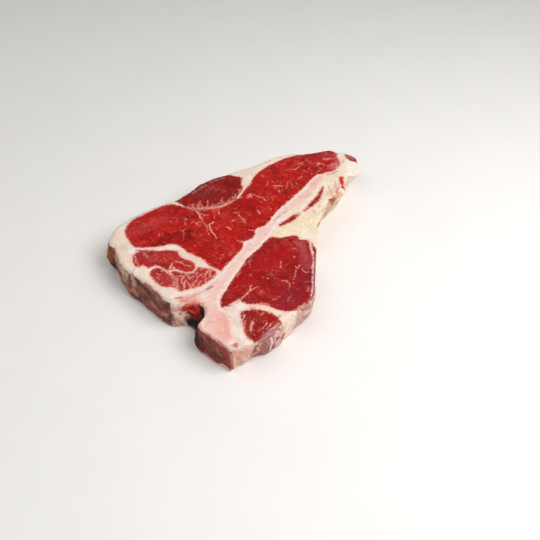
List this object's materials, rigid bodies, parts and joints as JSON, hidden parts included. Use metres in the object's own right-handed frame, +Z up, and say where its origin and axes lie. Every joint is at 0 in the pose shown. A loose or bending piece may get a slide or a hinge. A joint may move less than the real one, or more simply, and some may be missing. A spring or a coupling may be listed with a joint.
{
  "type": "raw t-bone steak",
  "caption": "Raw beef T-bone steak, a flat slice with strip loin and tenderloin on the two sides of a T-shaped bone, fat round them and a thin tail.",
  "frame": {"origin": "middle of the underside: the centre of the slice's box at its lowest face", "axes": "+Z up through the thickness; +Y along the stem of the T, from the sawn backbone to the thin tail; +X from the strip loin to the tenderloin"},
  "size_m": [0.177, 0.248, 0.0267],
  "materials": {
    "sawn_bone": "sawn bone, cream white and blushed pink, a little moist",
    "loin_muscle": "raw red lean meat with fine white marbling, moist",
    "dark_muscle": "raw maroon lean meat, coarser grained, moist",
    "streaked_muscle": "raw pinkish red lean meat streaked with white, moist",
    "tenderloin_muscle": "raw deep red fine grained lean meat, moist",
    "beef_fat": "raw cream fat with a pink blush, waxy and a little moist"
  },
  "bodies": {
    "root": {"bone": "sawn_bone", "strip_loin": "loin_muscle", "cap_muscle": "dark_muscle", "multifidus_upper": "streaked_muscle", "multifidus_lower": "streaked_muscle", "multifidus_inner": "streaked_muscle", "tenderloin": "tenderloin_muscle", "psoas_minor": "streaked_muscle", "side_strip_lower": "loin_muscle", "side_strip_upper": "loin_muscle", "tail_muscle": "dark_muscle", "back_fat": "beef_fat", "kidney_fat": "beef_fat", "chine_fat": "beef_fat"}
  },
  "joints": []
}
